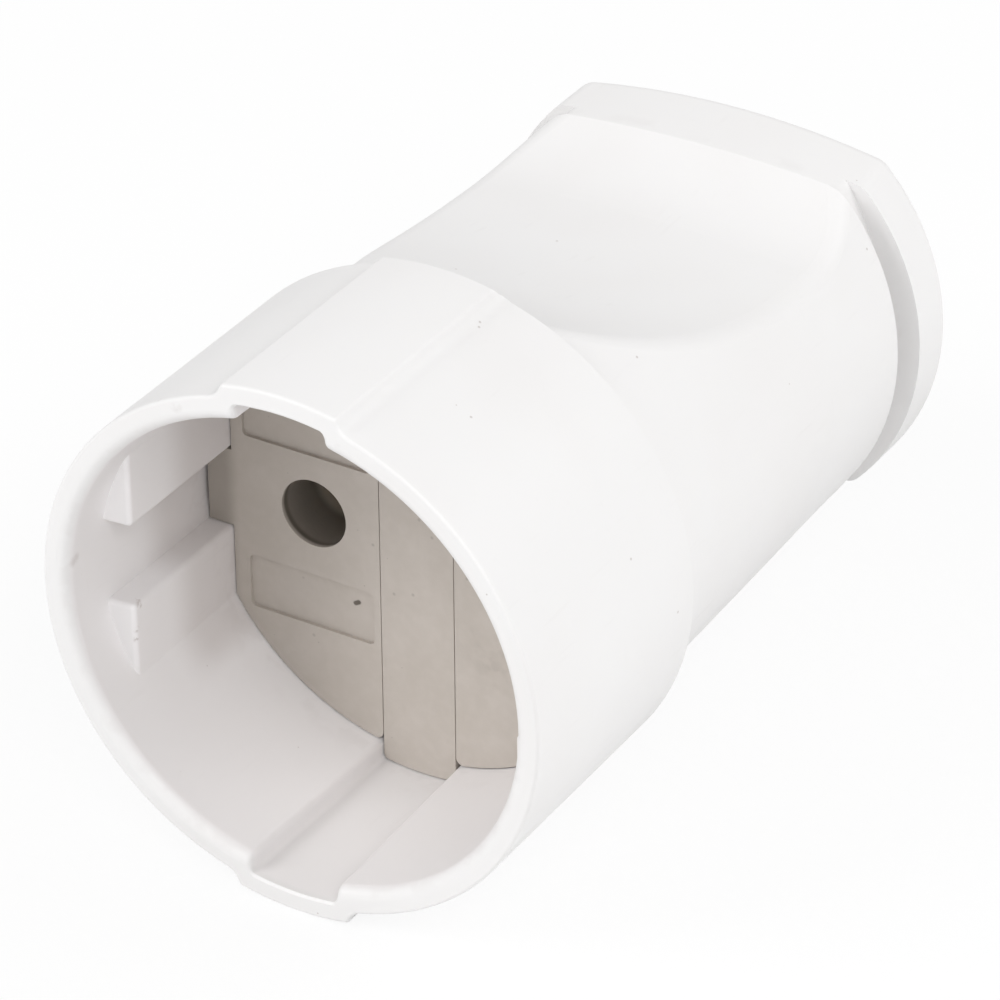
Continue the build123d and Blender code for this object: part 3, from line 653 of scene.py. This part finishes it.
class SOCKET_OT_steel_parts(bpy.types.Operator):
    """Finish the springs, clamp washers and screws in plated steel"""

    bl_idname = "socket.finish_steel_parts"
    bl_label = "Finish steel parts"

    def execute(self, context):
        look = context.scene.socket_metal
        dress(
            [
                "left_contact_spring", "right_contact_spring", "left_clamp_washer", "right_clamp_washer",
                "left_terminal_screw", "right_terminal_screw", "cord_clamp_screws", "face_panel_screws",
                "housing_screws",
            ],
            worked_metal("plated_steel", look, look.steel_colour, look.dull_colour),
        )
        return {"FINISHED"}


def soft_lamp(name, place, power):
    """A large square lamp that looks at the middle of the connector."""
    lamp = bpy.data.lights.new(name, "AREA")
    lamp.size = LAMP_SIZE
    lamp.energy = power
    holder = bpy.data.objects.new(name, lamp)
    toward = Vector(LAMP_TARGET) - Vector(place)
    holder.matrix_world = Matrix.Translation(place) @ toward.to_track_quat("-Z", "Y").to_matrix().to_4x4()
    bpy.context.scene.collection.objects.link(holder)


class SOCKET_OT_stage(bpy.types.Operator):
    """Set out the pale floor, the even sky, three soft lamps and the camera"""

    bl_idname = "socket.set_stage"
    bl_label = "Set stage"

    def execute(self, context):
        look = context.scene.socket_stage
        self.floor(context, look)
        self.sky(context, look)
        soft_lamp("key_lamp", KEY_LAMP_PLACE, look.key_power)
        soft_lamp("front_lamp", FRONT_LAMP_PLACE, look.front_power)
        soft_lamp("side_lamp", SIDE_LAMP_PLACE, look.side_power)
        self.camera(context, look)
        context.scene.view_settings.view_transform = "Standard"
        return {"FINISHED"}

    def floor(self, context, look):
        form = bmesh.new()
        bmesh.ops.create_circle(form, cap_ends=True, segments=FLOOR_SIDES, radius=FLOOR_RADIUS)
        mesh = bpy.data.meshes.new("floor")
        form.to_mesh(mesh)
        form.free()
        floor = bpy.data.objects.new("floor", mesh)
        floor.location.z = CAD_BOX[0].z
        context.scene.collection.objects.link(floor)
        material, tree, shader = new_finish("pale_floor")
        clouds = tree.cloud(60 * MM, 2.0)
        shade = tuple(level * 0.99 for level in look.floor_colour)
        tree.set(shader.inputs["Base Color"], tree.mixed(clouds, opaque(look.floor_colour), opaque(shade)))
        shader.inputs["Roughness"].default_value = 0.9
        shader.inputs["Specular IOR Level"].default_value = 0.1
        glow = tree.nodes.new("ShaderNodeEmission")
        glow.inputs["Color"].default_value = (1.0, 1.0, 1.0, 1.0)
        seen = tree.node("ShaderNodeLightPath", output="Is Camera Ray")
        blend = tree.node("ShaderNodeMixShader", sockets={0: seen * look.floor_whiteness})
        both = blend.socket.node
        tree.links.new(shader.outputs[0], both.inputs[1])
        tree.links.new(glow.outputs[0], both.inputs[2])
        tree.links.new(blend.socket, tree.nodes["Material Output"].inputs["Surface"])
        mesh.materials.append(material)

    def sky(self, context, look):
        world = bpy.data.worlds.new("even_sky")
        context.scene.world = world
        tree = Tree(world)
        background = tree.nodes["Background"]
        background.inputs["Color"].default_value = (1.0, 1.0, 1.0, 1.0)
        seen = tree.node("ShaderNodeLightPath", output="Is Camera Ray")
        for kind in ("Is Glossy Ray", "Is Transmission Ray"):
            ray = tree.node("ShaderNodeLightPath", output=kind)
            seen = seen.math("MAXIMUM", seen, ray)
        tree.set(background.inputs["Strength"], seen * (1 - look.sky_level) + look.sky_level)

    def camera(self, context, look):
        turn, rise, roll = look.azimuth, look.elevation, look.roll
        back = Vector((sin(turn) * cos(rise), -cos(turn) * cos(rise), sin(rise)))
        level_right = Vector((cos(turn), sin(turn), 0.0))
        level_up = back.cross(level_right)
        right = cos(roll) * level_right + sin(roll) * level_up
        up = cos(roll) * level_up - sin(roll) * level_right
        place = Vector(CAMERA_AIM) + look.distance * back + look.aside[0] * right + look.aside[1] * up
        lens = bpy.data.cameras.new("photo_camera")
        lens.lens = look.lens
        lens.sensor_width = SENSOR_WIDTH_MM
        holder = bpy.data.objects.new("photo_camera", lens)
        holder.matrix_world = Matrix.Translation(place) @ Matrix((right, up, back)).transposed().to_4x4()
        context.scene.collection.objects.link(holder)
        context.scene.camera = holder


class SOCKET_PT_looks(bpy.types.Panel):
    """Finishes, light and camera of the inline socket"""

    bl_idname = "SOCKET_PT_looks"
    bl_label = "Inline socket"
    bl_space_type = "VIEW_3D"
    bl_region_type = "UI"
    bl_category = "Socket"

    def draw(self, context):
        scene = context.scene
        for look, operators in (
            (scene.socket_shell, (SOCKET_OT_front_shroud, SOCKET_OT_rear_housing)),
            (scene.socket_contact_face, (SOCKET_OT_contact_face, SOCKET_OT_cord_clamp)),
            (scene.socket_metal, (SOCKET_OT_brass_parts, SOCKET_OT_steel_parts)),
            (scene.socket_stage, (SOCKET_OT_stage,)),
        ):
            box = self.layout.box()
            for name in look.__annotations__:
                box.prop(look, name)
            for operator in operators:
                box.operator(operator.bl_idname)


LOOKS = {
    "socket_shell": ShellLook,
    "socket_contact_face": ContactFaceLook,
    "socket_metal": MetalLook,
    "socket_stage": StageLook,
}
OPERATORS = (
    SOCKET_OT_stage,
    SOCKET_OT_front_shroud,
    SOCKET_OT_rear_housing,
    SOCKET_OT_contact_face,
    SOCKET_OT_cord_clamp,
    SOCKET_OT_brass_parts,
    SOCKET_OT_steel_parts,
)


def register():
    for name, look in LOOKS.items():
        bpy.utils.register_class(look)
        setattr(bpy.types.Scene, name, PointerProperty(type=look))
    for operator in OPERATORS:
        bpy.utils.register_class(operator)
    bpy.utils.register_class(SOCKET_PT_looks)


def unregister():
    bpy.utils.unregister_class(SOCKET_PT_looks)
    for operator in reversed(OPERATORS):
        bpy.utils.unregister_class(operator)
    for name, look in LOOKS.items():
        delattr(bpy.types.Scene, name)
        bpy.utils.unregister_class(look)


def main():
    register()
    bpy.ops.socket.set_stage()
    bpy.ops.socket.finish_front_shroud()
    bpy.ops.socket.finish_rear_housing()
    bpy.ops.socket.finish_contact_face()
    bpy.ops.socket.finish_cord_clamp()
    bpy.ops.socket.finish_brass_parts()
    bpy.ops.socket.finish_steel_parts()


if __name__ == "__main__":
    main()
